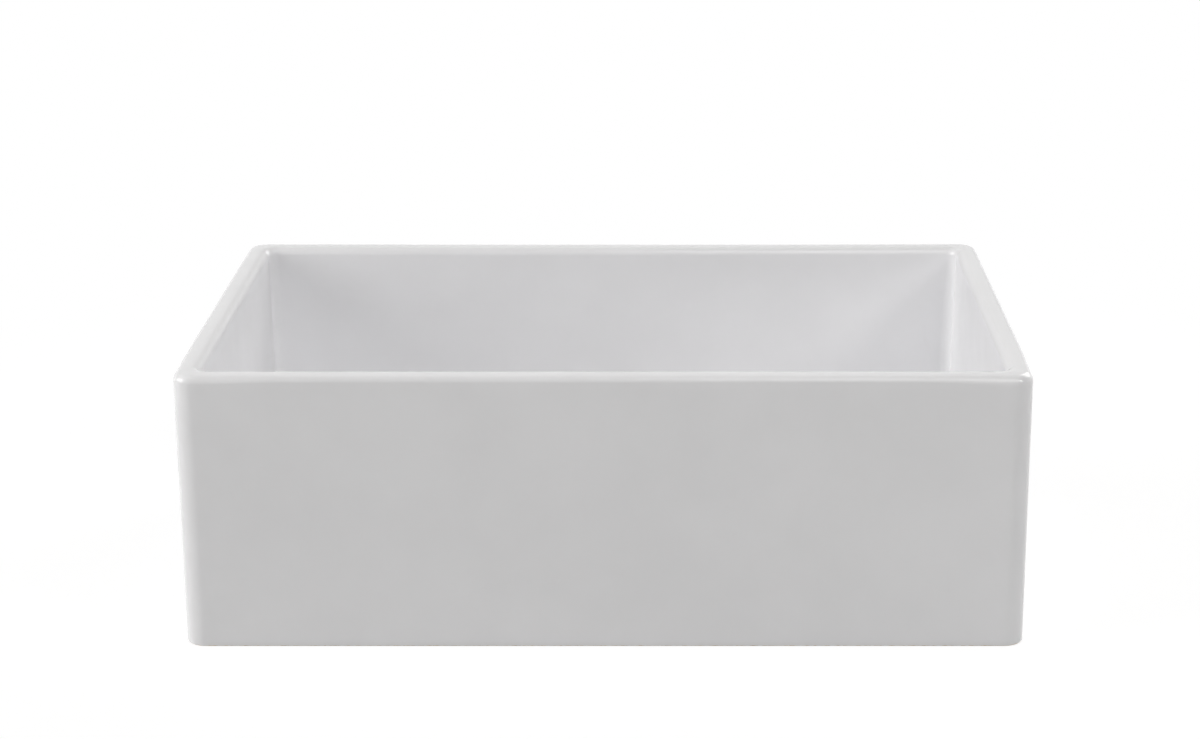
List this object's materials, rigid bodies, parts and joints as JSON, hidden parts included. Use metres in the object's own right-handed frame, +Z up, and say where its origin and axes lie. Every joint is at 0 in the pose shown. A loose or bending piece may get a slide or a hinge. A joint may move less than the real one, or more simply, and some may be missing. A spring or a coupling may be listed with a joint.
{
  "type": "farmhouse apron front sink",
  "caption": "Rectangular single-bowl kitchen sink of glazed fireclay with a plain flat apron front, even rounded rim and a central basket strainer waste whose basket lifts out.",
  "frame": {"origin": "centre of the base plane that the sink's foot band stands on, on the drain's axis", "axes": "+Z up, -Y out of the apron front, +X to the right as seen from the front"},
  "size_m": [0.762, 0.457, 0.4016],
  "materials": {
    "fireclay_glaze": "glossy fired glaze",
    "stainless_sheet": "pressed, satin polished",
    "turned_steel": "turned, polished",
    "zinc_casting": "die cast, tumbled",
    "chromed_tube": "chrome plated",
    "black_rubber": "moulded, matt",
    "red_fibre": "punched fibre sheet",
    "white_polyethylene": "moulded, satin",
    "putty": "pressed out, matt"
  },
  "bodies": {
    "sink": {"sink_body": "fireclay_glaze", "flange_putty": "putty", "strainer_body": "stainless_sheet", "strainer_spider": "stainless_sheet", "strainer_gasket": "black_rubber", "friction_ring": "red_fibre", "locknut": "zinc_casting", "tailpiece_washer": "white_polyethylene", "tailpiece": "chromed_tube", "coupling_nut": "zinc_casting"},
    "post_ring": {"snap_ring": "turned_steel"},
    "basket": {"basket_cup": "stainless_sheet", "basket_stopper": "black_rubber", "stopper_washer": "stainless_sheet", "basket_post": "turned_steel", "basket_nut": "turned_steel", "basket_knob": "turned_steel"}
  },
  "joints": [
    {"name": "basket_turn", "type": "hinge", "parent": "sink", "child": "post_ring", "pos_m": [0, 0, -0.02845], "axis": [0, 0, 1], "continuous": true},
    {"name": "basket_lift", "type": "slide", "parent": "post_ring", "child": "basket", "axis": [0, 0, 1], "range_m": [0, 0.31]}
  ]
}
